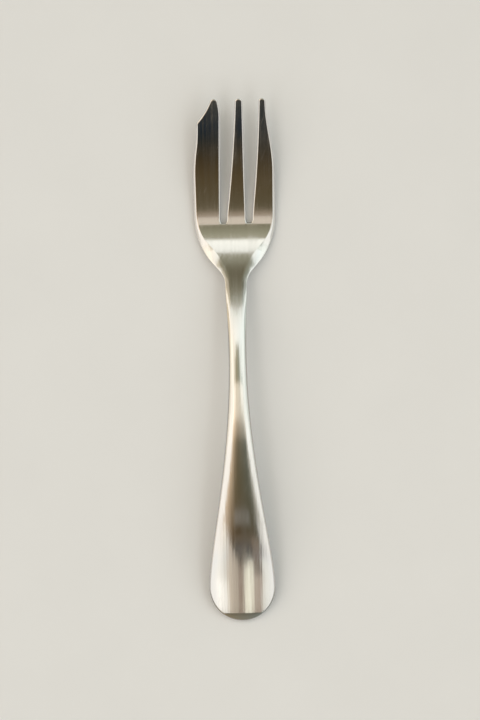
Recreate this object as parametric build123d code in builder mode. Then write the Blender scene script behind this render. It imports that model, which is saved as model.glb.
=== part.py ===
from build123d import *
import os
from math import radians, tan

# A pastry fork with three tines, pressed from one strip of stainless steel.
# It lies face up: X runs across, +Y towards the tips, +Z up, and Z = 0 is the table.
# The one stamping is divided into six regions that meet face to face on planes square to Y.

# Lengths along the fork, in millimetres
overall_length = 148.0
tine_length = 35.0
palm_length = 15.4
neck_length = 22.5
belly_setback = 0.5
crest_setback = 23.5

# Widths seen from above
head_width = 23.1
throat_width = 6.2
waist_width = 5.1
handle_width = 18.7
cutting_tine_width = 7.45
middle_tine_width = 5.35
slot_width = 1.9
cutting_tip_width = 1.7
middle_tip_width = 2.2
outer_tip_width = 2.0

# Where the tips stand, measured from the middle of the fork
cutting_tip_x = -5.2
middle_tip_x = 1.8
outer_tip_x = 8.45

# Curves seen from above
shoulder_angle = 41.0
shoulder_radius = 20.0
throat_radius = 6.0
slot_corner_radius = 0.5
slot_bow = 0.3
cutting_taper_start = 12.0
outer_taper_start = 14.0
taper_reach = 8.0
cutting_edge_x = -10.35
cutting_edge_length = 6.7
cutting_edge_hollow = 0.4
cutting_edge_corner = 1.2
nose_x = -3.6
nose_length = 5.5
throat_reach = 3.0
waist_reach = 12.0
flare_reach = 30.0
end_reach = 11.0

# Heights of the underside above the table, how far each bend reaches along the fork,
# and the lift of the tips in degrees
tip_height = 8.0
crest_height = 8.45
end_height = -0.48
belly_height = -0.05
root_reach = 6.0
tip_reach = 20.0
tip_lift = 15.0
belly_reach = 12.5
crest_reach = 38.5

# Thickness of the metal, and how far the rounded top falls off towards its sides
tip_thickness = 1.25
palm_thickness = 1.9
crest_thickness = 2.7
end_thickness = 2.1
throat_crown = 0.05
waist_crown = 0.5
handle_crown = 1.0

# Rounded rims, the share of a tip's width that rounds each of its corners,
# and the trim that the pressed strip has beyond the outline
top_rim_radius = 0.55
bottom_rim_radius = 0.35
tip_corner_share = 0.45
end_trim = 1.0
side_trim = 0.5

# Straight stretch of outline kept beside a joint plane, how close counts as equal,
# and how much of a face's normal must point up or down for the face to be a skin
straight_run = 0.5
near = 0.001
skin_share = 0.5

# Places along Y that follow from the lengths
tip_y = overall_length / 2
end_y = -overall_length / 2
slot_end_y = tip_y - tine_length
throat_corner_y = slot_end_y - palm_length
waist_y = throat_corner_y - neck_length
crest_y = waist_y - crest_setback
belly_y = slot_end_y - belly_setback
widest_y = end_y + handle_width / 2
shoulder_corner_y = throat_corner_y + (head_width - throat_width) / 2 / tan(radians(shoulder_angle))
corner_share = tan(radians(shoulder_angle / 2))
shoulder_end_y = shoulder_corner_y + shoulder_radius * corner_share
throat_y = throat_corner_y - throat_radius * corner_share - straight_run
tine_root_y = max(shoulder_end_y, slot_end_y + slot_corner_radius) + straight_run

# Places along X at the roots of the tines, from the cutting side to the outer side
head_half = head_width / 2
slot_1_left = -head_half + cutting_tine_width
slot_1_right = slot_1_left + slot_width
slot_2_left = slot_1_right + middle_tine_width
slot_2_right = slot_2_left + slot_width

# Curves as control points (place along Y, value there)
strip_tip_y = tip_y + end_trim
strip_end_y = end_y - end_trim
crest_top = crest_height + crest_thickness
belly_top = belly_height + palm_thickness
tip_top = tip_height + tip_thickness
tip_rise = tip_reach * tan(radians(tip_lift))
tine_under = [
    (belly_y, belly_height),
    (belly_y + root_reach, belly_height),
    (strip_tip_y - tip_reach, tip_height - tip_rise),
    (strip_tip_y, tip_height),
]
tine_top = [
    (belly_y, belly_top),
    (belly_y + root_reach, belly_top),
    (strip_tip_y - tip_reach, tip_top - tip_rise),
    (strip_tip_y, tip_top),
]
palm_under = [
    (belly_y, belly_height),
    (belly_y - belly_reach, belly_height),
    (crest_y + crest_reach, crest_height),
    (crest_y, crest_height),
]
palm_top = [
    (belly_y, belly_top),
    (belly_y - belly_reach, belly_top),
    (crest_y + crest_reach, crest_top),
    (crest_y, crest_top),
]
handle_under = [
    (crest_y, crest_height),
    ((crest_y + strip_end_y) / 2, crest_height),
    (strip_end_y, end_height),
]
handle_top = [
    (crest_y, crest_top),
    ((crest_y + strip_end_y) / 2, crest_top),
    (strip_end_y, end_height + end_thickness),
]
neck_side = [
    (throat_y, throat_width / 2),
    (throat_y - throat_reach, throat_width / 2),
    (waist_y + waist_reach, waist_width / 2),
    (waist_y, waist_width / 2),
]
handle_side = [
    (waist_y, waist_width / 2),
    (waist_y - flare_reach, waist_width / 2),
    (widest_y + end_reach, handle_width / 2),
    (widest_y, handle_width / 2),
]
neck_crowns = [(throat_y, throat_crown), (waist_y, waist_crown)]
handle_crowns = [(waist_y, waist_crown), (widest_y, handle_crown)]


def point_on(curve, share):
    """The point at a share of a curve's run, by repeated blending of its control points."""
    points = curve
    while len(points) > 1:
        points = [
            (a[0] + (b[0] - a[0]) * share, a[1] + (b[1] - a[1]) * share)
            for a, b in zip(points, points[1:])
        ]
    return points[0]


def value_at(curve, y):
    """The value of a curve at a place along Y, also a little before or past its ends."""
    direction = 1 if curve[-1][0] > curve[0][0] else -1
    low, high = -0.5, 1.5
    for _ in range(50):
        middle = (low + high) / 2
        if (point_on(curve, middle)[0] - y) * direction < 0:
            low = middle
        else:
            high = middle
    return point_on(curve, low)[1]


def across(curve, side):
    """Control points turned into plan points, on the side -1 (left) or 1 (right)."""
    return [(side * value, y) for y, value in curve]


def tine_side(x_root, taper_start, x_end, y_end):
    """The free side of a tine: straight up from the head, then easing inwards."""
    y_start = slot_end_y + taper_start
    Line((x_root, tine_root_y), (x_root, y_start))
    Bezier((x_root, y_start), (x_root, y_start + taper_reach), (x_end, y_end - taper_reach), (x_end, y_end))


def tip_sides(x, width):
    """The two sides of a tine's tip."""
    return x - width / 2, x + width / 2


def corners(plan, y):
    """The corners of a plan outline at a place along Y."""
    return plan.vertices().filter_by(lambda corner: abs(corner.Y - y) < near)


def rim(node, facing, *cut_places):
    """Edges around the skins that face up (1) or down (-1), without those on planes across Y."""
    skins = node.faces().filter_by(lambda face: face.normal_at().Z * facing > skin_share)
    return [
        edge
        for edge in skins.edges()
        if edge.bounding_box().size.Y > near or min(abs(edge.center().Y - y) for y in cut_places) > near
    ]


def finish(node, *cut_places):
    """Round both rims, then level the lowest stretch of the underside with the table."""
    fillet(rim(node, 1, *cut_places), top_rim_radius)
    fillet(rim(node, -1, *cut_places), bottom_rim_radius)
    split(bisect_by=Plane.XY, keep=Keep.TOP)


# The pressed strip under the head and the tines, flat from side to side
with BuildPart() as sheet:
    with BuildSketch(Plane.YZ):
        with BuildLine():
            Bezier(*tine_under)
            Line(tine_under[-1], tine_top[-1])
            Bezier(*tine_top)
            Bezier(*palm_top)
            Line(palm_top[-1], palm_under[-1])
            Bezier(*palm_under)
        make_face()
    extrude(amount=head_half + side_trim, both=True)

# The pressed strip under the neck and the handle, with a rounded top
bar_places = [throat_y + end_trim, throat_y, (throat_y + waist_y) / 2]
handle_steps = 6
for step in range(handle_steps):
    bar_places.append(waist_y + (widest_y - waist_y) * step / handle_steps)
bar_places += [widest_y, strip_end_y]

with BuildPart() as bar:
    for y in bar_places:
        on_neck = y > waist_y
        before_crest = y > crest_y
        half = value_at(neck_side if on_neck else handle_side, max(y, widest_y))
        crown = value_at(neck_crowns if on_neck else handle_crowns, y)
        under = value_at(palm_under if before_crest else handle_under, y)
        top = value_at(palm_top if before_crest else handle_top, y)
        bar_half = half + side_trim
        edge_top = top - crown * (bar_half / half) ** 2
        with BuildSketch(Plane.XZ.offset(-y)):
            with BuildLine():
                Polyline((-bar_half, edge_top), (-bar_half, under), (bar_half, under), (bar_half, edge_top))
                ThreePointArc((bar_half, edge_top), (0, top), (-bar_half, edge_top))
            make_face()
    loft()

press_plane = Plane.XY.offset(-end_trim)
press_height = crest_top + 2 * end_trim

with BuildPart() as handle:
    with BuildSketch(press_plane):
        with BuildLine():
            Line((-waist_width / 2, waist_y), (waist_width / 2, waist_y))
            Bezier(*across(handle_side, 1))
            ThreePointArc((handle_width / 2, widest_y), (0, end_y), (-handle_width / 2, widest_y))
            Bezier(*across(handle_side, -1))
        make_face()
    extrude(amount=press_height)
    add(bar.part, mode=Mode.INTERSECT)
    finish(handle, waist_y)

with BuildPart() as neck:
    with BuildSketch(press_plane):
        with BuildLine():
            Line((-throat_width / 2, throat_y), (throat_width / 2, throat_y))
            Bezier(*across(neck_side, 1))
            Line((waist_width / 2, waist_y), (-waist_width / 2, waist_y))
            Bezier(*across(neck_side, -1))
        make_face()
    extrude(amount=press_height)
    add(bar.part, mode=Mode.INTERSECT)
    finish(neck, waist_y, throat_y)

with BuildPart() as head:
    with BuildSketch(press_plane) as head_plan:
        with BuildLine():
            for side in (-1, 1):
                FilletPolyline(
                    (side * throat_width / 2, throat_y),
                    (side * throat_width / 2, throat_corner_y),
                    (side * head_half, shoulder_corner_y),
                    (side * head_half, tine_root_y),
                    radius=[throat_radius, shoulder_radius],
                )
            Line((-throat_width / 2, throat_y), (throat_width / 2, throat_y))
            Line((-head_half, tine_root_y), (head_half, tine_root_y))
        make_face()
        with Locations(
            ((slot_1_left + slot_1_right) / 2, tine_root_y),
            ((slot_2_left + slot_2_right) / 2, tine_root_y),
        ):
            Rectangle(slot_width, 2 * (tine_root_y - slot_end_y), mode=Mode.SUBTRACT)
        fillet(corners(head_plan, slot_end_y), slot_corner_radius)
    extrude(amount=press_height)
    add(sheet.part, mode=Mode.INTERSECT)
    finish(head, throat_y, belly_y, tine_root_y)

with BuildPart() as cutting_tine:
    tip_left, tip_right = tip_sides(cutting_tip_x, cutting_tip_width)
    edge_start_y = tip_y - cutting_edge_length
    with BuildSketch(press_plane) as cutting_plan:
        with BuildLine():
            tine_side(-head_half, cutting_taper_start, cutting_edge_x, edge_start_y)
            SagittaArc((cutting_edge_x, edge_start_y), (tip_left, tip_y), -cutting_edge_hollow)
            Line((tip_left, tip_y), (tip_right, tip_y))
            inner_side = Line((slot_1_left, tine_root_y), (nose_x, tip_y - nose_length))
            TangentArc(inner_side @ 1, (tip_right, tip_y), tangent=inner_side % 1)
            Line((slot_1_left, tine_root_y), (-head_half, tine_root_y))
        make_face()
        fillet(corners(cutting_plan, tip_y), tip_corner_share * cutting_tip_width)
        fillet(corners(cutting_plan, edge_start_y), cutting_edge_corner)
    extrude(amount=press_height)
    add(sheet.part, mode=Mode.INTERSECT)
    finish(cutting_tine, tine_root_y)

with BuildPart() as middle_tine:
    tip_left, tip_right = tip_sides(middle_tip_x, middle_tip_width)
    with BuildSketch(press_plane) as middle_plan:
        with BuildLine():
            Line((slot_1_right, tine_root_y), (slot_2_left, tine_root_y))
            Line((slot_2_left, tine_root_y), (tip_right, tip_y))
            Line((tip_right, tip_y), (tip_left, tip_y))
            SagittaArc((tip_left, tip_y), (slot_1_right, tine_root_y), slot_bow)
        make_face()
        fillet(corners(middle_plan, tip_y), tip_corner_share * middle_tip_width)
    extrude(amount=press_height)
    add(sheet.part, mode=Mode.INTERSECT)
    finish(middle_tine, tine_root_y)

with BuildPart() as outer_tine:
    tip_left, tip_right = tip_sides(outer_tip_x, outer_tip_width)
    with BuildSketch(press_plane) as outer_plan:
        with BuildLine():
            tine_side(head_half, outer_taper_start, tip_right, tip_y)
            Line((tip_right, tip_y), (tip_left, tip_y))
            SagittaArc((tip_left, tip_y), (slot_2_right, tine_root_y), slot_bow)
            Line((slot_2_right, tine_root_y), (head_half, tine_root_y))
        make_face()
        fillet(corners(outer_plan, tip_y), tip_corner_share * outer_tip_width)
    extrude(amount=press_height)
    add(sheet.part, mode=Mode.INTERSECT)
    finish(outer_tine, tine_root_y)

nodes = {
    "handle": handle,
    "neck": neck,
    "head": head,
    "cutting_tine": cutting_tine,
    "middle_tine": middle_tine,
    "outer_tine": outer_tine,
}
os.makedirs("parts", exist_ok=True)
for name, node in nodes.items():
    node.part.label = name
    export_step(node.part, f"parts/{name}.step")
    box = node.part.bounding_box()
    print(f"{name}: {node.part.volume:.1f} mm3, {box.size.X:.2f} x {box.size.Y:.2f} x {box.size.Z:.2f} mm")
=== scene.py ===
# %% [markdown]
# # A pastry fork
# A pastry fork is a small three-tined fork whose left tine is wide and ground to a slanted edge,
# so that it can cut a slice of cake. It is one piece: a flat blank is punched out of a strip of
# stainless steel, pressed between two dies, and then polished until it reflects the room.
# This lesson makes it in the same order. First the imported solid model is loaded, because it
# fixes where everything goes. Its regions stay in the scene, hidden.

# %% Load the imported fork
from math import cos, pi, radians, sin, tan

import bmesh
import bpy
import numpy as np
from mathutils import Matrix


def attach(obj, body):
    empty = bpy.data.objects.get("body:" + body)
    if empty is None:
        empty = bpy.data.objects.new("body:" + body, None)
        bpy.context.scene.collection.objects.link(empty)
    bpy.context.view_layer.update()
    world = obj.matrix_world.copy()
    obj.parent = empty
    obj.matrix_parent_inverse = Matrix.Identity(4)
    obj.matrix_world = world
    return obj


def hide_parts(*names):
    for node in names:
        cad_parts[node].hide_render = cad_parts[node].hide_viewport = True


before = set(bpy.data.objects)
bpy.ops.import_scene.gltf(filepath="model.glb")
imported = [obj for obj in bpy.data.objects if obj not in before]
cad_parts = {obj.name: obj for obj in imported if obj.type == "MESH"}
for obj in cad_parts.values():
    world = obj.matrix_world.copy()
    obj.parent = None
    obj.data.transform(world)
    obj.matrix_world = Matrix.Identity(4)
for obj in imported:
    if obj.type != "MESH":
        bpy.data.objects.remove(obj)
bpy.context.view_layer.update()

regions = sorted(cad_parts)
print("regions of the solid fork:", regions)

# %% [markdown]
# ## Sizes
# Every size is in millimetres, as a toolmaker would write it, and is turned into metres only when
# a mesh is made. X runs across the fork, +Y towards the tips, +Z up, and Z = 0 is the table.
# The plan sizes describe the punch. The heights and thicknesses belong to the press dies.

# %% Sizes of the punch
MM = 0.001
tip_y, slot_end_y, throat_corner_y, waist_y = 74.0, 39.0, 23.6, 1.1
head_width, throat_width, waist_width, handle_width = 23.1, 6.2, 5.1, 18.7
cutting_tine_width, middle_tine_width, slot_width = 7.45, 5.35, 1.9
tip_widths = {"cutting": 1.7, "middle": 2.2, "outer": 2.0}
tip_places = {"cutting": -5.2, "middle": 1.8, "outer": 8.45}
shoulder_angle, shoulder_radius, throat_radius = 41.0, 20.0, 6.0
slot_corner_radius, slot_bow, tip_corner_share = 0.5, 0.3, 0.45
cutting_taper_start, outer_taper_start, taper_reach = 12.0, 14.0, 8.0
cutting_edge_x, cutting_edge_length, cutting_edge_hollow, cutting_edge_corner = -10.35, 6.7, 0.4, 0.45
nose_x, nose_length = -3.6, 5.5
throat_reach, waist_reach, flare_reach, end_reach = 3.0, 12.0, 30.0, 11.0
corner_margin = 0.5

# Places that follow from them
end_y = -tip_y
handle_half, waist_half = handle_width / 2, waist_width / 2
throat_half, head_half = throat_width / 2, head_width / 2
widest_y = end_y + handle_half
shoulder_corner_y = throat_corner_y + (head_half - throat_half) / tan(radians(shoulder_angle))
corner_share = tan(radians(shoulder_angle / 2))
throat_y = throat_corner_y - throat_radius * corner_share - corner_margin
tine_root_y = shoulder_corner_y + shoulder_radius * corner_share + corner_margin
slot_1 = (-head_half + cutting_tine_width, -head_half + cutting_tine_width + slot_width)
slot_2 = (slot_1[1] + middle_tine_width, slot_1[1] + middle_tine_width + slot_width)
print(f"shoulder corner at Y {shoulder_corner_y:.2f}, tine roots at Y {tine_root_y:.2f}")

# %% [markdown]
# ## The punched outline
# The punch cuts along one closed line. It is made of straight runs, Bezier curves and rounded
# corners, joined into a dense chain of points that goes round counter-clockwise: the round end of
# the handle, up the right side, round the three tines and two slots, and down the left side.
# Drawing the outline once and taking every other shape from it keeps all edges in agreement.

# %% Helpers for drawing lines
FINE = 0.02


def bezier(*controls, steps=240):
    """Points along a Bezier curve. Two control points give a straight run."""
    share = np.linspace(0, 1, steps + 1)[:, None]
    points = [np.array(control, float) for control in controls]
    while len(points) > 1:
        points = [a + (b - a) * share for a, b in zip(points, points[1:])]
    return points[0]


def unit(vector):
    """The vector's direction."""
    return vector / np.linalg.norm(vector)


def arc_between(a, leaving, b, arriving):
    """A round curve from a to b that leaves and arrives in the given directions."""
    chord = b - a
    lean = (unit(leaving) + unit(arriving)) @ unit(chord) / 2
    handle = 2 / 3 * np.linalg.norm(chord) / (1 + lean)
    return bezier(a, a + unit(leaving) * handle, b - unit(arriving) * handle, b)


def lengths_along(path):
    """Distance of each point of a path from its start."""
    return np.concatenate([[0], np.cumsum(np.linalg.norm(np.diff(path, axis=0), axis=1))])


def point_at(path, along):
    """Points of a path at distances from its start."""
    run = lengths_along(path)
    return np.stack([np.interp(along, run, path[:, 0]), np.interp(along, run, path[:, 1])], axis=-1)


def part_of(path, start, end):
    """The stretch of a path between two distances from its start."""
    run = lengths_along(path)
    inside = path[(run > start + FINE) & (run < end - FINE)]
    return np.concatenate([point_at(path, [start]), inside, point_at(path, [end])])


def round_corner(before, after, reach):
    """Join two paths, with the corner between them rounded over a reach on each side."""
    before = part_of(before, 0, lengths_along(before)[-1] - reach)
    after = part_of(after, reach, lengths_along(after)[-1])
    corner = arc_between(before[-1], before[-1] - before[-2], after[0], after[1] - after[0])
    return np.concatenate([before, corner[1:-1], after])


def bowed(a, b, bow):
    """A shallow bow from a to b that stands off to the right of its direction."""
    a, b = np.array(a), np.array(b)
    forward = unit(b - a)
    return bezier(a, (a + b) / 2 + 2 * bow * np.array([forward[1], -forward[0]]), b)


# %% The right side of the handle, neck and head
round_end_points = 300
quarter = np.linspace(-pi / 2, 0, round_end_points)
round_end = np.stack([handle_half * np.cos(quarter), widest_y + handle_half * np.sin(quarter)], axis=-1)
handle_side = bezier(
    (handle_half, widest_y), (handle_half, widest_y + end_reach),
    (waist_half, waist_y - flare_reach), (waist_half, waist_y),
)
neck_side = bezier(
    (waist_half, waist_y), (waist_half, waist_y + waist_reach),
    (throat_half, throat_y - throat_reach), (throat_half, throat_y),
)
throat_run = bezier((throat_half, throat_y), (throat_half, throat_corner_y))
shoulder_run = bezier((throat_half, throat_corner_y), (head_half, shoulder_corner_y))
head_run = bezier((head_half, shoulder_corner_y), (head_half, tine_root_y))
head_side = round_corner(throat_run, shoulder_run, throat_radius * corner_share)
head_side = round_corner(head_side, head_run, shoulder_radius * corner_share)
right_side = np.concatenate([round_end, handle_side[1:], neck_side[1:], head_side[1:]])
left_side = (right_side * [-1, 1])[::-1]
print(f"right side: {len(right_side)} points over {lengths_along(right_side)[-1]:.1f} mm")

# %% [markdown]
# ## Tines and slots
# The three tines differ. The cutting tine is wide and its tip is ground to a slant, the middle one
# tapers on both sides, and the outer one runs straight on its free side before it eases inwards.
# Each slot is a U with small round corners, where the metal would otherwise tear.
# Every side is a curve of its own, and one helper rounds the corner wherever two of them meet, so
# that no corner has to be worked out by hand.

# %% The three tines and the slots between them


def tip_sides(name):
    """Where the left and right side of a tine reach its tip."""
    return tip_places[name] - tip_widths[name] / 2, tip_places[name] + tip_widths[name] / 2


def free_side(x, taper_start, x_end, y_end):
    """The side of a tine that faces no slot: straight, then easing inwards."""
    y_start = slot_end_y + taper_start
    easing = bezier((x, y_start), (x, y_start + taper_reach), (x_end, y_end - taper_reach), (x_end, y_end))
    return np.concatenate([bezier((x, tine_root_y), (x, y_start)), easing[1:]])


def slot(left, right, down, up):
    """The U between two tines, from the end of the tine side that comes down to the one that goes up."""
    wall_down = bezier((right, tine_root_y), (right, slot_end_y))
    floor_run = bezier((right, slot_end_y), (left, slot_end_y))
    wall_up = bezier((left, slot_end_y), (left, tine_root_y))
    u_shape = round_corner(wall_down, floor_run, slot_corner_radius)
    u_shape = round_corner(u_shape, wall_up, slot_corner_radius)
    root_blend = (tine_root_y - slot_end_y) / 2
    return round_corner(round_corner(down, u_shape, root_blend), up, root_blend)


outer_left, outer_right = tip_sides("outer")
middle_left, middle_right = tip_sides("middle")
cutting_left, cutting_right = tip_sides("cutting")
edge_start = np.array([cutting_edge_x, tip_y - cutting_edge_length])
nose = np.array([nose_x, tip_y - nose_length])
cutting_tip = np.array([cutting_right, tip_y])

outer_up = free_side(head_half, outer_taper_start, outer_right, tip_y)
outer_tip = bezier((outer_right, tip_y), (outer_left, tip_y))
outer_down = bowed((outer_left, tip_y), (slot_2[1], tine_root_y), -slot_bow)
middle_up = bezier((slot_2[0], tine_root_y), (middle_right, tip_y))
middle_tip = bezier((middle_right, tip_y), (middle_left, tip_y))
middle_down = bowed((middle_left, tip_y), (slot_1[1], tine_root_y), -slot_bow)
inner_run = bezier((slot_1[0], tine_root_y), nose)
inner_way = unit(nose - inner_run[0])
nose_chord = unit(cutting_tip - nose)
nose_curve = arc_between(nose, inner_way, cutting_tip, 2 * (inner_way @ nose_chord) * nose_chord - inner_way)
cutting_up = np.concatenate([inner_run, nose_curve[1:]])
cutting_tip_run = bezier(cutting_tip, (cutting_left, tip_y))
cutting_edge = bowed((cutting_left, tip_y), edge_start, -cutting_edge_hollow)
cutting_down = free_side(-head_half, cutting_taper_start, *edge_start)[::-1]

tip_reach = {name: tip_corner_share * width for name, width in tip_widths.items()}
outline = np.concatenate([right_side, outer_up[1:]])
outline = round_corner(outline, outer_tip, tip_reach["outer"])
outline = round_corner(outline, outer_down, tip_reach["outer"])
outline = slot(*slot_2, outline, middle_up)
outline = round_corner(outline, middle_tip, tip_reach["middle"])
outline = round_corner(outline, middle_down, tip_reach["middle"])
outline = slot(*slot_1, outline, cutting_up)
outline = round_corner(outline, cutting_tip_run, tip_reach["cutting"])
outline = round_corner(outline, cutting_edge, tip_reach["cutting"])
outline = round_corner(outline, cutting_down, cutting_edge_corner)
outline = np.concatenate([outline, left_side[1:]])
print(f"outline: {len(outline)} points, {lengths_along(outline)[-1]:.1f} mm round")

# %% [markdown]
# ## Stations round the outline
# A mirror-bright surface shows every uneven face, so the skin is laid out as a tidy grid instead
# of being filled in by a tool. The outline is divided into stretches that become the sides of
# five grids: the body, the band at the roots of the tines, and one grid for each tine.
# Towards the tips the stations crowd together, because the bends there are tight.

# %% Divide the outline into stations
root_row_y, body_row_y = 38.5, 35.2
body_rows, root_rows, tine_rows = 220, 10, 76
tine_columns = {"cutting": 14, "middle": 10, "outer": 12}
slot_columns = 16
slot_fan = 0.6
diagonal = cos(pi / 4) * handle_half
slot_diagonal = (1 - cos(pi / 4)) * slot_corner_radius
slot_corner_y = slot_end_y + slot_diagonal

even = np.linspace
crowd = 1.5
knots = np.cumsum([
    0, tine_columns["cutting"], slot_columns, tine_columns["middle"], slot_columns, tine_columns["outer"],
])
fans = [slot_1[0] - slot_fan, slot_1[1] + slot_fan, slot_2[0] - slot_fan, slot_2[1] + slot_fan]
column_x = np.interp(np.arange(knots[-1] + 1), knots, [-head_half, *fans, head_half])
column_shares = (column_x + head_half) / head_width


def towards_tip(start, end, count):
    """Distances from start to end that crowd together at the end."""
    return end - (end - start) * (1 - np.linspace(0, 1, count)) ** crowd


def from_tip(start, end, count):
    """Distances from start to end that crowd together at the start."""
    return start + (end - start) * np.linspace(0, 1, count) ** crowd


def like_columns(start, end, count):
    """Distances from start to end that are spread as the columns of the head are."""
    return start + (end - start) * column_shares


stretches = [
    ("end", (diagonal, widest_y - diagonal), knots[-1], like_columns),
    ("body_right", (head_half, body_row_y), body_rows, even),
    ("root_right", (head_half, root_row_y), root_rows, even),
    ("outer_right", (outer_right, tip_y), tine_rows, towards_tip),
    ("outer_tip", (outer_left, tip_y), tine_columns["outer"], even),
    ("outer_left", (slot_2[1] - slot_diagonal, slot_corner_y), tine_rows, from_tip),
    ("slot_2", (slot_2[0] + slot_diagonal, slot_corner_y), slot_columns, even),
    ("middle_right", (middle_right, tip_y), tine_rows, towards_tip),
    ("middle_tip", (middle_left, tip_y), tine_columns["middle"], even),
    ("middle_left", (slot_1[1] - slot_diagonal, slot_corner_y), tine_rows, from_tip),
    ("slot_1", (slot_1[0] + slot_diagonal, slot_corner_y), slot_columns, even),
    ("cutting_right", (cutting_right, tip_y), tine_rows, towards_tip),
    ("cutting_tip", (cutting_left, tip_y), tine_columns["cutting"], even),
    ("cutting_left", (-head_half, root_row_y), tine_rows, from_tip),
    ("root_left", (-head_half, body_row_y), root_rows, even),
    ("body_left", (-diagonal, widest_y - diagonal), body_rows, even),
]
outline_run = lengths_along(outline)
round_length = outline_run[-1]


def nearest_along(place):
    """How far along the outline lies the point nearest to a place."""
    return outline_run[np.argmin(np.linalg.norm(outline - np.array(place), axis=1))]


marks = [nearest_along((-diagonal, widest_y - diagonal)) - round_length]
places = {}
for name, stretch_end, count, spread in stretches:
    marks.append(nearest_along(stretch_end))
    places[name] = spread(marks[-2], marks[-1], count + 1)


def on_outline(along):
    """Points of the closed outline, and the directions that point out of the metal there."""
    shifts = (-2 * FINE, 0, 2 * FINE)
    behind, here, beyond = (point_at(outline, (along + shift) % round_length) for shift in shifts)
    ahead = beyond - behind
    ahead /= np.linalg.norm(ahead, axis=1)[:, None]
    return here, np.stack([ahead[:, 1], -ahead[:, 0]], axis=-1)


sides = {name: on_outline(along) for name, along in places.items()}
print("stations:", sum(len(along) - 1 for along in places.values()))

# %% [markdown]
# ## The blank
# The blank is the flat sheet as it leaves the punch, with its edges already tumbled round.
# Seen in section, the upper side falls away towards the rim in a shallow curve, which makes the
# bright line round a polished fork, and only its last tenth of a millimetre turns down steeply.
# Grinding makes this fall wide at the shoulders and neck, and narrow at the tines and handle.
# At the shoulders it begins with a slope of its own, behind a faint crease, and at the handle's end
# it begins along a straight line across the last two millimetres.
# Each grid is laid between its left and right sides, row by row, and its end rows bend to follow
# the round end, the slots or the tip. Rings of faces then go round the rim and close the sheet.

# %% Rim sizes and the grid helper
blank_thickness = 2.0
# The upper rim of the free sides, and of the sides that face a slot, in rows of
# place along Y, width, slope where it begins and slope at the edge
side_rim = np.array([
    (end_y, 2.20, 0.0, 0.20), (-73.0, 1.34, 0.0, 0.20), (-72.2, 0.50, 0.0, 0.25), (-66.0, 0.50, 0.0, 0.45),
    (-35.0, 0.55, 0.0, 0.60), (5.0, 0.80, 0.0, 0.55), (13.0, 1.10, 0.0, 0.42), (18.0, 1.60, 0.0, 0.27),
    (21.0, 1.75, 0.0, 0.18), (24.0, 2.00, 0.0, 0.12), (26.0, 2.40, 0.0, 0.14), (28.0, 2.75, 0.05, 0.20),
    (30.0, 2.75, 0.13, 0.28), (32.0, 2.30, 0.23, 0.34), (34.0, 1.70, 0.26, 0.37), (36.0, 1.35, 0.20, 0.42),
    (38.0, 1.20, 0.10, 0.50), (42.0, 1.00, 0.0, 0.55), (60.0, 0.60, 0.0, 0.55), (72.5, 0.45, 0.0, 0.55),
    (tip_y, 0.45, 0.0, 0.55),
])
slot_rim = np.array([
    (38.0, 0.45, 0.0, 0.55), (50.0, 0.50, 0.0, 0.55), (72.5, 0.45, 0.0, 0.55), (tip_y, 0.45, 0.0, 0.55),
])
slot_sides = ["outer_left", "slot_2", "middle_right", "middle_left", "slot_1", "cutting_right"]
edge_round = 0.12
lower_rim_width, lower_rim_drop = 0.45, 0.35
# Rings close together keep the crease crisp: one lies a crease's width outside the skin's edge, and
# the next a small share of the fall further out
crease_width, crease_share = 0.02, 0.02
fall_rings, edge_rings, lower_rings = 8, 5, 5
# How quickly the bend of a grid's end row fades: a high power keeps it to the last few rows
end_fade, root_fade, tine_fade = 14, 1, 6


def upper_rim(name):
    """Width of the upper rim, its first slope and its slope at the edge, at each station of a stretch."""
    rim_y, *rim_sizes = (slot_rim if name in slot_sides else side_rim).T
    return np.stack([np.interp(sides[name][0][:, 1], rim_y, size) for size in rim_sizes], axis=-1)


def inset(name, is_upper):
    """A stretch of the outline, moved into the metal by the rim's width there."""
    points, outwards = sides[name]
    return points - outwards * (upper_rim(name)[:, :1] if is_upper else lower_rim_width)


def grid(left, right, shares, fade, first=None, last=None):
    """Rows of points between two sides. The first and last rows may bend, and the bend fades."""
    rows = left[:, None] + (right - left)[:, None] * shares[None, :, None]
    along = np.linspace(0, 1, len(left))[:, None, None]
    if first is not None:
        rows = rows + (first - rows[0]) * (1 - along) ** fade
    if last is not None:
        rows = rows + (last - rows[-1]) * along ** fade
    return rows


def skin_grids(is_upper):
    """The five grids of the upper or the lower skin, inside its rim."""
    edge = {name: inset(name, is_upper) for name in sides}
    root_row = np.concatenate([
        even(edge["cutting_left"][-1], edge["cutting_right"][0], tine_columns["cutting"] + 1),
        edge["slot_1"][::-1][1:-1],
        even(edge["middle_left"][-1], edge["middle_right"][0], tine_columns["middle"] + 1),
        edge["slot_2"][::-1][1:-1],
        even(edge["outer_left"][-1], edge["outer_right"][0], tine_columns["outer"] + 1),
    ])
    grids = [
        grid(edge["body_left"][::-1], edge["body_right"], column_shares, end_fade, first=edge["end"]),
        grid(edge["root_left"][::-1], edge["root_right"], column_shares, root_fade, last=root_row),
    ]
    for name in tine_columns:
        columns = np.linspace(0, 1, tine_columns[name] + 1)
        left, right, tip = edge[f"{name}_left"][::-1], edge[f"{name}_right"], edge[f"{name}_tip"][::-1]
        grids.append(grid(left, right, columns, tine_fade, last=tip))
    return grids


# %% Lay the upper and the lower skin
vertices, faces = [], []


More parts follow.
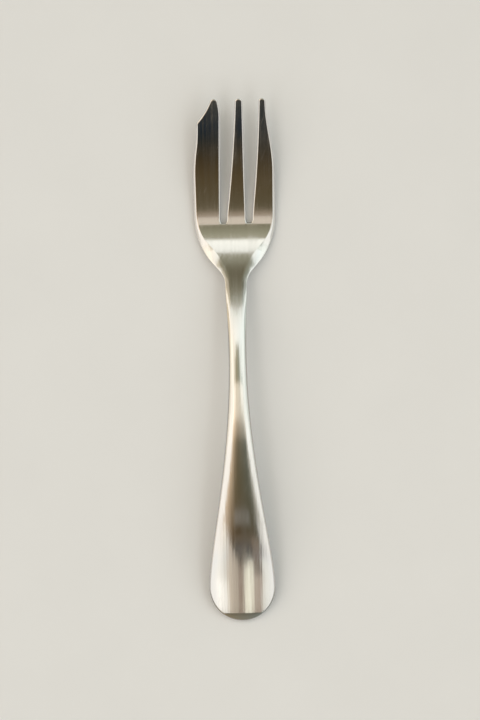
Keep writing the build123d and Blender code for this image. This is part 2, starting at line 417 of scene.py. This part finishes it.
def add_rows(rows, height):
    """Add a grid of points at a height, or at one height for each row, joined by quads."""
    start = len(vertices)
    count = rows.shape[1]
    for row, row_height in zip(rows, np.broadcast_to(height, (len(rows),) + np.shape(height)[1:])):
        row_heights = np.broadcast_to(row_height, (count,))
        vertices.extend((x * MM, y * MM, z * MM) for (x, y), z in zip(row, row_heights))
    for i in range(len(rows) - 1):
        for j in range(count - 1):
            corner = start + i * count + j
            faces.append((corner, corner + 1, corner + count + 1, corner + count))


for is_upper, height in ((True, 0.0), (False, -blank_thickness)):
    for rows in skin_grids(is_upper):
        add_rows(rows, height)
print(f"skins: {len(vertices)} vertices, {len(faces)} faces")

# %% Close the sheet with rings round the rim


def all_round(of_stretch):
    """A value at every station round the closed outline, from a function of a stretch's name."""
    return np.concatenate([of_stretch(name)[:-1] for name in sides] + [of_stretch("end")[:1]])


rim_points = all_round(lambda name: sides[name][0])
rim_outwards = all_round(lambda name: sides[name][1])
upper_width, first_slope, edge_slope = all_round(upper_rim).T
edge_angle = np.arctan(edge_slope)
fall_width = upper_width - edge_round * (1 - np.sin(edge_angle))
ring_points = [rim_points - rim_outwards * upper_width[:, None]]
ring_heights = [np.zeros(len(rim_points))]
upper_width, fall_width = upper_width - crease_width, fall_width - crease_width
fall_drop = (first_slope + edge_slope) * fall_width / 2
for share in [0, crease_share, *np.linspace(0, 1, fall_rings + 1)[1:]]:
    ring_points.append(rim_points - rim_outwards * (upper_width - share * fall_width)[:, None])
    ring_heights.append(-fall_width * (first_slope * share + (edge_slope - first_slope) * share ** 2 / 2))
for share in np.linspace(0, 1, edge_rings + 1)[1:]:
    turn = edge_angle + share * (pi / 2 - edge_angle)
    ring_points.append(rim_points - rim_outwards * (edge_round * (1 - np.sin(turn)))[:, None])
    ring_heights.append(-fall_drop - edge_round * (np.cos(edge_angle) - np.cos(turn)))
for turn in np.linspace(pi / 2, 0, lower_rings + 1):
    ring_points.append(rim_points - rim_outwards * lower_rim_width * (1 - sin(turn)))
    ring_heights.append(np.full(len(rim_points), lower_rim_drop * (1 - cos(turn)) - blank_thickness))
add_rows(np.array(ring_points), np.array(ring_heights))
print(f"rings round the rim: {len(ring_points)}")

# %% Weld the blank
weld_distance = 0.001
blank_mesh = bpy.data.meshes.new("blank")
blank_mesh.from_pydata(vertices, [], faces)
sheet = bmesh.new()
sheet.from_mesh(blank_mesh)
bmesh.ops.remove_doubles(sheet, verts=sheet.verts, dist=weld_distance * MM)
bmesh.ops.recalc_face_normals(sheet, faces=sheet.faces)
open_edges = sum(not edge.is_manifold for edge in sheet.edges)
print(f"blank: {len(sheet.verts)} vertices, {len(sheet.faces)} faces, {open_edges} open edges")
sheet.to_mesh(blank_mesh)
sheet.free()

# %% [markdown]
# ## How far across each vertex lies
# The neck and handle are a little domed across, so the press has to know how far each vertex lies
# from the middle, as a share of the width there. The outline gives that width at once, while a
# node tree would have to search for it. So the share, from -1 on the left to 1 on the right, is
# stored on the mesh as an attribute, which the tree then reads by its name.

# %% The share across the fork
flat = np.array([vertex.co for vertex in blank_mesh.vertices]) / MM
side_y = right_side[len(round_end) - 1:, 1]
side_x = right_side[len(round_end) - 1:, 0]
local_half = np.interp(flat[:, 1], side_y, side_x)
across = blank_mesh.attributes.new("across", "FLOAT", "POINT")
across.data.foreach_set("value", np.clip(flat[:, 0] / local_half, -1, 1).astype(np.float32))
print(f"half widths used: {local_half.min():.2f} to {local_half.max():.2f} mm")

# %% [markdown]
# ## Polished stainless steel
# Cutlery steel is a chromium steel, rolled, pressed and then buffed along its length with finer
# and finer paste. To the eye that gives a slightly warm grey metal with nearly sharp reflections,
# faint lines along the length from the buffing wheel, hairline scratches from washing up, and a
# dull veil here and there. The lines are a noise that is squeezed across the fork and stretched
# along it. It nudges the roughness and the bump. The scratches are a second such noise, turned
# askew, of which only the peaks are kept. Two softer noises give the veil and an uneven tint.

# %% Colour and node helpers


def linear(hex_colour):
    """An sRGB colour such as '#C8C5BE' as the linear values that Blender works with."""
    shares = [int(hex_colour[i:i + 2], 16) / 255 for i in (1, 3, 5)]
    return [c / 12.92 if c <= 0.04045 else ((c + 0.055) / 1.055) ** 2.4 for c in shares] + [1.0]


def add_node(tree, kind, inputs=None, **settings):
    """Add a node, set its settings, and fill its inputs with values or with other nodes' sockets."""
    node = tree.nodes.new(kind)
    for setting, value in settings.items():
        setattr(node, setting, value)
    for key, value in (inputs or {}).items():
        if isinstance(value, bpy.types.NodeSocket):
            tree.links.new(value, node.inputs[key])
        else:
            node.inputs[key].default_value = value
    return node


# %% The steel
# A buffing line or a scratch is about 0.02 mm wide, which no picture of a whole fork can show,
# so the lines are drawn about 0.45 mm wide and the scratches about 0.2 mm.
# The veil comes in patches of about 12 mm.
line_width_mm, line_length_mm, scratch_width_mm, scratch_length_mm = 0.45, 22.0, 0.2, 7.0
line_depth_mm, scratch_turn = 0.02, 24.0
veil_mm, tint_mm = 12.0, 30.0
steel = bpy.data.materials.new("polished_stainless_steel")
steel.use_nodes = True
steel_nodes = steel.node_tree
steel_nodes.nodes.clear()
fork_place = add_node(steel_nodes, "ShaderNodeTexCoord").outputs["Object"]


def streaks(width_mm, length_mm, turn):
    """A noise of long thin streaks that run along the fork, turned by an angle in plan."""
    turned = add_node(steel_nodes, "ShaderNodeVectorRotate", {
        "Vector": fork_place, "Angle": radians(turn),
    }, rotation_type="Z_AXIS")
    squeezed = add_node(steel_nodes, "ShaderNodeMapping", {
        "Vector": turned.outputs[0],
        "Scale": (1 / (width_mm * MM), 1 / (length_mm * MM), 1 / (length_mm * MM)),
    })
    noise = add_node(steel_nodes, "ShaderNodeTexNoise", {
        "Vector": squeezed.outputs[0], "Scale": 1.0, "Detail": 2.0,
    })
    return noise.outputs["Fac"]


lines = streaks(line_width_mm, line_length_mm, 0.0)
scratches = add_node(steel_nodes, "ShaderNodeMapRange", {
    "Value": streaks(scratch_width_mm, scratch_length_mm, scratch_turn), "From Min": 0.66, "From Max": 0.74,
}).outputs[0]
veil = add_node(steel_nodes, "ShaderNodeTexNoise", {
    "Vector": fork_place, "Scale": 1 / (veil_mm * MM), "Detail": 3.0,
})
tint = add_node(steel_nodes, "ShaderNodeTexNoise", {
    "Vector": fork_place, "Scale": 1 / (tint_mm * MM), "Detail": 1.0,
})
steel_colour = add_node(steel_nodes, "ShaderNodeMix", {
    "Factor": tint.outputs["Fac"], "A": linear("#C3C1BC"), "B": linear("#C9C6C1"),
}, data_type="RGBA")
veiled = add_node(steel_nodes, "ShaderNodeMapRange", {
    "Value": veil.outputs["Fac"], "From Min": 0.35, "From Max": 0.75, "To Min": 0.08, "To Max": 0.14,
})
lined = add_node(steel_nodes, "ShaderNodeMapRange", {
    "Value": lines, "From Min": 0.3, "From Max": 0.7, "To Min": -0.02, "To Max": 0.04,
})
smooth_parts = add_node(steel_nodes, "ShaderNodeMath", {
    0: veiled.outputs[0], 1: lined.outputs[0],
}, operation="ADD")
roughness = add_node(steel_nodes, "ShaderNodeMath", {
    0: scratches, 1: 0.12, 2: smooth_parts.outputs[0],
}, operation="MULTIPLY_ADD")
line_bump = add_node(steel_nodes, "ShaderNodeBump", {
    "Height": lines, "Strength": 0.3, "Distance": line_depth_mm * MM,
})
steel_surface = add_node(steel_nodes, "ShaderNodeBsdfPrincipled", {
    "Base Color": steel_colour.outputs["Result"], "Metallic": 1.0,
    "Roughness": roughness.outputs[0], "Normal": line_bump.outputs[0],
})
add_node(steel_nodes, "ShaderNodeOutputMaterial", {"Surface": steel_surface.outputs[0]})
print("material:", steel.name)

# %% [markdown]
# ## The press
# Two dies give the fork its side view: the belly of the head, the arch of the handle and the
# lift of the tines. In the node tree each die is three Bezier curves, swept across into a strip.
# A ray goes straight up from every vertex of the blank and says how high each die stands there.
# Vertices of the upper skin move to the upper die and those of the lower skin to the lower die,
# so the sheet takes both shapes and its own thickness at once. The neck and handle are also
# crowned: their top falls off towards the sides with the square of the distance.
# Geometry Nodes suit this, because the whole press is one rule with a few named points and sizes.

# %% Sizes of the dies
die_tip_y, belly_y, crest_y, die_end_y = 75.0, 38.5, -22.4, -75.0
tip_height, belly_height, crest_height, end_height = 8.0, -0.05, 8.45, -0.48
tip_thickness, palm_thickness, crest_thickness, end_thickness = 1.25, 1.9, 2.7, 2.1
lift_reach, lift_angle = 20.0, 15.0
root_reach, belly_reach, crest_reach = 4.6, 13.5, 38.75
crown_start_y, waist_crown, handle_crown = 19.5, 0.5, 1.0


def die_points(die, tip_z, belly_z, crest_z, end_z):
    """The control points of a die's three curves, under the names of the press's inputs."""
    lift = lift_reach * tan(radians(lift_angle))
    return {
        f"{die} Tip": (0, die_tip_y, tip_z),
        f"{die} Tip Handle": (0, die_tip_y - lift_reach, tip_z - lift),
        f"{die} Root Handle": (0, belly_y + root_reach, belly_z),
        f"{die} Belly": (0, belly_y, belly_z),
        f"{die} Palm Handle": (0, belly_y - belly_reach, belly_z),
        f"{die} Neck Handle": (0, crest_y + crest_reach, crest_z),
        f"{die} Crest": (0, crest_y, crest_z),
        f"{die} Arch Handle": (0, (crest_y + die_end_y) / 2, crest_z),
        f"{die} End": (0, die_end_y, end_z),
    }


press_points = {
    **die_points("Lower", tip_height, belly_height, crest_height, end_height),
    **die_points(
        "Upper", tip_height + tip_thickness, belly_height + palm_thickness,
        crest_height + crest_thickness, end_height + end_thickness,
    ),
}
press_sizes = {
    "Crown Start Y": crown_start_y, "Waist Y": waist_y, "Widest Y": widest_y,
    "Waist Crown": waist_crown, "Added Handle Crown": handle_crown - waist_crown,
    "Blank Thickness": blank_thickness, "Blank Middle": -blank_thickness / 2,
}
print("points of the dies:", len(press_points))

# %% The dies as a node tree
press = bpy.data.node_groups.new("press", "GeometryNodeTree")
press.interface.new_socket("Geometry", in_out="INPUT", socket_type="NodeSocketGeometry")
for point_name in press_points:
    press.interface.new_socket(point_name, in_out="INPUT", socket_type="NodeSocketVector")
for size_name in press_sizes:
    press.interface.new_socket(size_name, in_out="INPUT", socket_type="NodeSocketFloat")
press.interface.new_socket("Steel", in_out="INPUT", socket_type="NodeSocketMaterial")
press.interface.new_socket("Geometry", in_out="OUTPUT", socket_type="NodeSocketGeometry")
given = add_node(press, "NodeGroupInput").outputs
vertex_place = add_node(press, "GeometryNodeInputPosition")
spot = add_node(press, "ShaderNodeSeparateXYZ", {0: vertex_place.outputs[0]}).outputs
# Rays start a metre below the table, well under both dies
ray_start_z, ray_length = -1.0, 2.0
ray_start = add_node(press, "ShaderNodeCombineXYZ", {"X": spot["X"], "Y": spot["Y"], "Z": ray_start_z})
die_width = add_node(press, "ShaderNodeCombineXYZ", {"X": 2 * head_width * MM})
tine_steps, palm_steps, arch_steps, die_weld_distance = 400, 500, 400, 0.0005


def die_height(die):
    """Height of a die above each vertex. Its curves are swept across into a strip that rays hit."""
    tine = add_node(press, "GeometryNodeCurvePrimitiveBezierSegment", {
        "Resolution": tine_steps, "Start": given[f"{die} Tip"], "Start Handle": given[f"{die} Tip Handle"],
        "End Handle": given[f"{die} Root Handle"], "End": given[f"{die} Belly"],
    }, mode="POSITION")
    palm = add_node(press, "GeometryNodeCurvePrimitiveBezierSegment", {
        "Resolution": palm_steps, "Start": given[f"{die} Belly"], "Start Handle": given[f"{die} Palm Handle"],
        "End Handle": given[f"{die} Neck Handle"], "End": given[f"{die} Crest"],
    }, mode="POSITION")
    arch = add_node(press, "GeometryNodeCurveQuadraticBezier", {
        "Resolution": arch_steps, "Start": given[f"{die} Crest"],
        "Middle": given[f"{die} Arch Handle"], "End": given[f"{die} End"],
    })
    profile = add_node(press, "GeometryNodeJoinGeometry")
    for curve in (tine, palm, arch):
        press.links.new(curve.outputs[0], profile.inputs[0])
    line = add_node(press, "GeometryNodeCurveToMesh", {"Curve": profile.outputs[0]})
    joined = add_node(press, "GeometryNodeMergeByDistance", {
        "Geometry": line.outputs[0], "Distance": die_weld_distance * MM,
    })
    aside = add_node(press, "GeometryNodeTransform", {
        "Geometry": joined.outputs[0], "Translation": (-head_width * MM, 0, 0),
    })
    strip = add_node(press, "GeometryNodeExtrudeMesh", {
        "Mesh": aside.outputs[0], "Offset": die_width.outputs[0], "Offset Scale": 1.0,
    }, mode="EDGES")
    ray = add_node(press, "GeometryNodeRaycast", {
        "Target Geometry": strip.outputs["Mesh"], "Source Position": ray_start.outputs[0],
        "Ray Direction": (0, 0, 1), "Ray Length": ray_length,
    })
    return add_node(press, "ShaderNodeSeparateXYZ", {0: ray.outputs["Hit Position"]}).outputs["Z"]


lower_die, upper_die = die_height("Lower"), die_height("Upper")
print("nodes of the dies:", len(press.nodes))

# %% The crown and the two skins
neck_dome = add_node(press, "ShaderNodeMapRange", {
    "Value": spot["Y"], "From Min": given["Crown Start Y"], "From Max": given["Waist Y"],
    "To Min": 0.0, "To Max": given["Waist Crown"],
}, interpolation_type="SMOOTHSTEP")
handle_dome = add_node(press, "ShaderNodeMapRange", {
    "Value": spot["Y"], "From Min": given["Waist Y"], "From Max": given["Widest Y"],
    "To Min": 0.0, "To Max": given["Added Handle Crown"],
})
across_share = add_node(press, "GeometryNodeInputNamedAttribute", {"Name": "across"}, data_type="FLOAT")
crown = add_node(press, "ShaderNodeMath", {
    0: neck_dome.outputs[0], 1: handle_dome.outputs[0],
}, operation="ADD")
across_square = add_node(press, "ShaderNodeMath", {
    0: across_share.outputs[0], 1: across_share.outputs[0],
}, operation="MULTIPLY")
crown_fall = add_node(press, "ShaderNodeMath", {
    0: crown.outputs[0], 1: across_square.outputs[0],
}, operation="MULTIPLY")
crowned_die = add_node(press, "ShaderNodeMath", {
    0: upper_die, 1: crown_fall.outputs[0],
}, operation="SUBTRACT")
upper_z = add_node(press, "ShaderNodeMath", {0: crowned_die.outputs[0], 1: spot["Z"]}, operation="ADD")
over_lower_skin = add_node(press, "ShaderNodeMath", {
    0: spot["Z"], 1: given["Blank Thickness"],
}, operation="ADD")
lifted_z = add_node(press, "ShaderNodeMath", {0: lower_die, 1: over_lower_skin.outputs[0]}, operation="ADD")
lower_z = add_node(press, "ShaderNodeMath", {0: lifted_z.outputs[0], 1: 0.0}, operation="MAXIMUM")
on_upper_skin = add_node(press, "ShaderNodeMath", {
    0: spot["Z"], 1: given["Blank Middle"],
}, operation="GREATER_THAN")
new_z = add_node(press, "GeometryNodeSwitch", {
    "Switch": on_upper_skin.outputs[0], "False": lower_z.outputs[0], "True": upper_z.outputs[0],
}, input_type="FLOAT")
new_spot = add_node(press, "ShaderNodeCombineXYZ", {"X": spot["X"], "Y": spot["Y"], "Z": new_z.outputs[0]})
pressed = add_node(press, "GeometryNodeSetPosition", {
    "Geometry": given["Geometry"], "Position": new_spot.outputs[0],
})
smooth = add_node(press, "GeometryNodeSetShadeSmooth", {"Geometry": pressed.outputs[0]})
real = add_node(press, "GeometryNodeRealizeInstances", {"Geometry": smooth.outputs[0]})
steeled = add_node(press, "GeometryNodeSetMaterial", {
    "Geometry": real.outputs[0], "Material": given["Steel"],
})
add_node(press, "NodeGroupOutput", {"Geometry": steeled.outputs[0]})
print("press:", len(press.nodes), "nodes")

# %% [markdown]
# ## One stroke of the press
# A modifier runs the tree on the blank. Its inputs are set by the identifiers of their sockets,
# before the result is asked for. The result is then copied to a plain mesh, and the blank and its
# modifier go, just as a real blank is used up. The mesh becomes the fork, which takes the place of
# all regions of the solid model, because on the real fork no seam shows between them.

# %% Press the blank
blank = bpy.data.objects.new("blank", blank_mesh)
bpy.context.scene.collection.objects.link(blank)
stroke = blank.modifiers.new("press", "NODES")
stroke.node_group = press
for item in press.interface.items_tree:
    if item.name in press_points:
        stroke[item.identifier] = [part * MM for part in press_points[item.name]]
    elif item.name in press_sizes:
        stroke[item.identifier] = press_sizes[item.name] * MM
    elif item.name == "Steel":
        stroke[item.identifier] = steel
pressed_mesh = bpy.data.meshes.new_from_object(blank.evaluated_get(bpy.context.evaluated_depsgraph_get()))
blank.modifiers.remove(stroke)
bpy.data.objects.remove(blank)
pressed_mesh.name = "pastry_fork"
pressed_mesh.attributes.remove(pressed_mesh.attributes["across"])
fork = bpy.data.objects.new("pastry_fork", pressed_mesh)
bpy.context.scene.collection.objects.link(fork)
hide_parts(*regions)
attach(fork, "root")
fork_places = np.array([vertex.co for vertex in pressed_mesh.vertices]) / MM
triangles = sum(len(polygon.vertices) - 2 for polygon in pressed_mesh.polygons)
print(f"fork: {triangles} triangles, {np.ptp(fork_places, axis=0).round(2)} mm")
print(f"lowest point: {fork_places[:, 2].min():.3f} mm over the table")

# %% [markdown]
# ## The table
# The fork lies on a plain pale table top. It has a fine soft grain so that it is not one flat
# colour, and it is rough, so that it takes the fork's shadow and sends soft light back under it.

# %% Table top
table_half, grain_mm = 3.0, 25.0
table_mesh = bpy.data.meshes.new("table_top")
table_corners = [(-1, -1), (1, -1), (1, 1), (-1, 1)]
table_mesh.from_pydata([(x * table_half, y * table_half, 0) for x, y in table_corners], [], [(0, 1, 2, 3)])
table_top = bpy.data.objects.new("table_top", table_mesh)
bpy.context.scene.collection.objects.link(table_top)
paint = bpy.data.materials.new("matt_pale_paint")
paint.use_nodes = True
paint_nodes = paint.node_tree
paint_nodes.nodes.clear()
table_place = add_node(paint_nodes, "ShaderNodeTexCoord").outputs["Object"]
grain = add_node(paint_nodes, "ShaderNodeTexNoise", {
    "Vector": table_place, "Scale": 1 / (grain_mm * MM), "Detail": 4.0,
})
paint_colour = add_node(paint_nodes, "ShaderNodeMix", {
    "Factor": grain.outputs["Fac"], "A": linear("#E4E4E4"), "B": linear("#E9E9E9"),
}, data_type="RGBA")
paint_surface = add_node(paint_nodes, "ShaderNodeBsdfPrincipled", {
    "Base Color": paint_colour.outputs["Result"], "Roughness": 0.85,
})
add_node(paint_nodes, "ShaderNodeOutputMaterial", {"Surface": paint_surface.outputs[0]})
table_mesh.materials.append(paint)
print("table top:", table_mesh.name)

# %% [markdown]
# ## Soft boxes
# Polished steel has hardly any look of its own: it shows what hangs over it. So the light is a
# set of soft boxes that hang 1.5 metres over the table and face down, and the gaps between them
# show as the darker bands on the metal. Wide boxes left and right light the sides of the crowned
# handle and neck. They are dimmer further out and at their far end, and smaller boxes at their
# inner corners fade towards the middle. A long box beyond the tips gives the white band on the
# head and the white neck. A fan of strips behind the handle, which steps back towards the middle,
# and a few single strips beside it draw the pattern at the handle's end. Four small ones hang
# lower: a pair that only the stem between neck and handle sees, and a faint pair for the handle.
# Boxes side by side never overlap in one plane, because the metal would see only one of the two.

# %% What a soft box is
box_height, low_height = 1.5, 0.3


def soft_box(name, x_range, y_range, glow, colour="#FFFFFF", height=box_height):
    """A rectangle of even light over the table that faces down. Glow 1 shines like sunlit white paper."""
    width, depth = x_range[1] - x_range[0], y_range[1] - y_range[0]
    lamp = bpy.data.lights.new(name, "AREA")
    lamp.shape = "RECTANGLE"
    lamp.size, lamp.size_y = width, depth
    lamp.color = linear(colour)[:3]
    lamp.energy = pi * glow * width * depth
    soft = bpy.data.objects.new(name, lamp)
    soft.location = (sum(x_range) / 2, sum(y_range) / 2, height)
    soft.visible_camera = False
    bpy.context.scene.collection.objects.link(soft)
    return soft


# %% Hang the soft boxes at the sides and beyond the tips
# Edges that boxes share, in metres: across the table, then along it from near to far
far_left, mid_left, left_edge = -3.3, -1.0, -0.57
right_edge, mid_right, far_right = 0.62, 1.0, 3.3
side_near, over_neck, corner_far, wing_near, band_near = -1.8, 0.1, 0.28, 0.40, 0.483
dim_near, band_middle, band_far, end_near, fade_far, side_far = 0.58, 0.62, 0.80, 0.90, 1.3, 1.8
right_fade_left, right_fade_middle, right_fade_near = 0.50, -0.55, -0.82
left_corner_middle, right_corner_middle = -0.42, 0.42
warm_white, cool_white, cream = "#FFF6EA", "#F6FAFF", "#FFF4E6"
boxes = [
    soft_box("left_box", (mid_left, left_edge), (side_near, over_neck), 1.5),
    soft_box("left_box_far_half", (mid_left, left_edge), (over_neck, end_near), 1.3),
    soft_box("left_box_outer_half", (far_left, mid_left), (side_near, dim_near), 0.9),
    soft_box("left_box_outer_dim", (far_left, mid_left), (dim_near, end_near), 0.4),
    soft_box("left_box_far_end", (far_left, left_edge), (end_near, side_far), 0.85, warm_white),
    soft_box("left_far_fade", (left_edge, -0.25), (band_far, fade_far), 0.4, warm_white),
    soft_box("right_box", (right_edge, mid_right), (side_near, over_neck), 1.4),
    soft_box("right_box_far_half", (right_edge, mid_right), (over_neck, end_near), 1.2),
    soft_box("right_box_outer_half", (mid_right, far_right), (side_near, dim_near), 0.8),
    soft_box("right_box_outer_dim", (mid_right, far_right), (dim_near, end_near), 0.4),
    soft_box("right_box_far_end", (right_edge, far_right), (end_near, side_far), 0.5),
    soft_box("right_far_fade", (0.30, right_edge), (band_far, fade_far), 0.3),
    soft_box("right_fade", (right_fade_left, right_edge), (right_fade_middle, over_neck), 0.4, cream),
    soft_box("right_fade_near_end", (right_fade_left, right_edge), (right_fade_near, right_fade_middle), 1.0),
    soft_box("left_corner", (left_edge, -0.32), (over_neck, corner_far), 0.5),
    soft_box("left_corner_far_end", (left_corner_middle, -0.26), (corner_far, wing_near), 0.35),
    soft_box("left_corner_side", (left_edge, left_corner_middle), (corner_far, wing_near), 0.85),
    soft_box("left_wing", (left_edge, -0.20), (wing_near, band_near), 0.9),
    soft_box("right_corner", (0.26, right_edge), (over_neck, corner_far), 0.55),
    soft_box("right_corner_far_end", (0.24, right_corner_middle), (corner_far, wing_near), 0.75),
    soft_box("right_corner_side", (right_corner_middle, right_edge), (corner_far, wing_near), 1.1),
    soft_box("right_wing", (0.20, right_edge), (wing_near, band_near), 0.9),
    soft_box("far_box_near_half", (left_edge, right_edge), (band_near, band_middle), 1.25, cool_white),
    soft_box("far_box_far_half", (left_edge, right_edge), (band_middle, band_far), 1.18, cool_white),
]
print("soft boxes so far:", len(boxes))

# %% Hang the small boxes and the strips behind the handle
# The lift hangs a little below the strips that it brightens, because of two boxes in one plane
# only one would show
near_end, lift_height = -1.36, 1.49
stem_half, stem_middle = 0.12, -0.005
strip_1_left, strip_2_left, strip_3_left, strip_4_left, strip_5_left = -0.09, 0.045, 0.145, 0.245, 0.46
boxes += [
    soft_box("top_box", (-stem_half, stem_half), (stem_middle, 0.040), 0.85, "#FFF3E8", low_height),
    soft_box("top_dim", (-stem_half, stem_half), (-0.022, stem_middle), 0.3, "#FFE3D2", low_height),
    soft_box("near_right_dim", (strip_4_left, strip_5_left), (-0.98, -0.68), 0.26, "#FFE2CC"),
    soft_box("near_dim", (strip_1_left, strip_3_left), (-0.89, -0.76), 0.12, "#FFE6D2"),
    soft_box("near_left_lift", (left_edge, -0.30), (near_end, -1.02), 0.35, height=lift_height),
    soft_box("handle_patch", (-0.045, 0.055), (-0.153, -0.131), 0.2, "#EEF6FF", low_height),
    soft_box("handle_shade", (-0.042, 0.045), (-0.199, -0.170), 0.115, "#FFEFDC", low_height),
]
# A fan of strips on the left steps back and fades out towards the middle
fan_step, fan_count, warm_from = 0.08, 6, 3
fan_start, fan_set_back = -0.55, 0.058
least_glow, added_glow, glow_power = 0.7, 0.9, 1.5
fade_glow, fade_power = 0.8, 1.7
for number in range(fan_count):
    span = (left_edge + number * fan_step, left_edge + (number + 1) * fan_step)
    rest = 1 - number / (fan_count - 1)
    start = fan_start - fan_set_back * number
    glow = least_glow + added_glow * rest ** glow_power
    colour = "#FFFDF8" if number < warm_from else "#FFF0DE"
    boxes.append(soft_box(f"fan_strip_{number + 1}", span, (near_end, start), glow, colour))
    if rest > 0:
        fade = fade_glow * rest ** fade_power
        boxes.append(soft_box(f"fan_fade_{number + 1}", span, (start, over_neck), fade, "#FFE4C6"))
# Single strips follow on the right, in rows of left side, right side, far end, glow and colour
for number, (left, right, start, glow, colour) in enumerate([
    (strip_1_left, strip_2_left, -0.90, 0.40, "#FFE0CE"),
    (strip_2_left, strip_3_left, -0.89, 1.4, "#FFFCEC"),
    (strip_3_left, strip_4_left, -0.85, 1.4, "#FFFCEC"),
    (strip_4_left, strip_5_left, -0.98, 0.62, "#FFE8D6"),
    (strip_5_left, right_edge, right_fade_near, 1.35, "#FFFFFA"),
]):
    boxes.append(soft_box(f"near_strip_{number + 1}", (left, right), (near_end, start), glow, colour))
print("soft boxes:", [box.name for box in boxes])

# %% [markdown]
# ## The room
# Between the boxes the metal sees the room, which is a gradient from the near to the far side:
# dark behind the handle, with one deep blue patch that the ends of the tines catch, brownish
# overhead, pale beyond the tips and dimmer again further out. A faint tint makes its left side
# warmer than its right. Towards the horizon it fades to a pale grey, as walls catch the light.
# The world has no other purpose here.

# %% Room
room = bpy.data.worlds.new("dim_room")
bpy.context.scene.world = room
room.use_nodes = True
room_nodes = room.node_tree
room_nodes.nodes.clear()
looking = add_node(room_nodes, "ShaderNodeTexCoord")
way = add_node(room_nodes, "ShaderNodeSeparateXYZ", {0: looking.outputs["Generated"]}).outputs
near_to_far = add_node(room_nodes, "ShaderNodeMapRange", {
    "Value": way["Y"], "From Min": -1.0, "From Max": 1.0,
})
room_ramp = add_node(room_nodes, "ShaderNodeValToRGB", {"Fac": near_to_far.outputs[0]})
stops = [
    (0.10, "#A8A296"), (0.165, "#8A8478"), (0.178, "#5A554B"), (0.268, "#50504B"), (0.280, "#0A2A48"),
    (0.287, "#2C3738"), (0.299, "#564632"), (0.32, "#6F5E44"), (0.40, "#7C725D"), (0.48, "#857B69"),
    (0.53, "#AEA893"), (0.603, "#CCC8B4"), (0.64, "#DBD5C4"), (0.74, "#C6C2B2"), (0.764, "#B4B0A0"),
    (0.7735, "#867D69"), (0.85, "#8A8474"),
]
while len(room_ramp.color_ramp.elements) < len(stops):
    room_ramp.color_ramp.elements.new(0.5)
for element, (place, colour) in zip(room_ramp.color_ramp.elements, stops):
    element.position = place
    element.color = linear(colour)
left_to_right = add_node(room_nodes, "ShaderNodeMapRange", {
    "Value": way["X"], "From Min": -0.35, "From Max": 0.35,
})
side_tint = add_node(room_nodes, "ShaderNodeMix", {
    "Factor": left_to_right.outputs[0], "A": linear("#FFEBC8"), "B": linear("#D8F2FF"),
}, data_type="RGBA")
tinted = add_node(room_nodes, "ShaderNodeMix", {
    "Factor": 1.0, "A": room_ramp.outputs["Color"], "B": side_tint.outputs["Result"],
}, data_type="RGBA", blend_type="MULTIPLY")
to_horizon = add_node(room_nodes, "ShaderNodeMapRange", {
    "Value": way["Z"], "From Min": 0.55, "From Max": 0.25, "To Min": 0.0, "To Max": 1.0,
}, interpolation_type="SMOOTHSTEP")
room_colour = add_node(room_nodes, "ShaderNodeMix", {
    "Factor": to_horizon.outputs[0], "A": tinted.outputs["Result"], "B": linear("#D4D2CE"),
}, data_type="RGBA")
room_light = add_node(room_nodes, "ShaderNodeBackground", {
    "Color": room_colour.outputs["Result"], "Strength": 1.0,
})
add_node(room_nodes, "ShaderNodeOutputWorld", {"Surface": room_light.outputs[0]})
bpy.context.scene.view_settings.view_transform = "Standard"
print("room:", room.name)

# %% [markdown]
# ## The camera
# The camera looks straight down, a little turned, so that the fork leans slightly to the left.
# It stands well back with a long lens, which keeps the outline nearly free of perspective.

# %% Camera
frame_height, lean, camera_height, aim_x, aim_height = 204.3, 1.216, 2000.0, 0.667, 5.0
camera_data = bpy.data.cameras.new("camera")
camera_data.sensor_fit = "VERTICAL"
camera_data.sensor_height = 36.0
camera_data.lens = camera_data.sensor_height * (camera_height - aim_height) / frame_height
camera = bpy.data.objects.new("camera", camera_data)
camera.location = (aim_x * MM, -aim_x * sin(radians(lean)) * MM, camera_height * MM)
camera.rotation_euler = (0, 0, -radians(lean))
bpy.context.scene.collection.objects.link(camera)
bpy.context.scene.camera = camera
print(f"camera {camera_height:.0f} mm up, lens {camera_data.lens:.0f} mm")
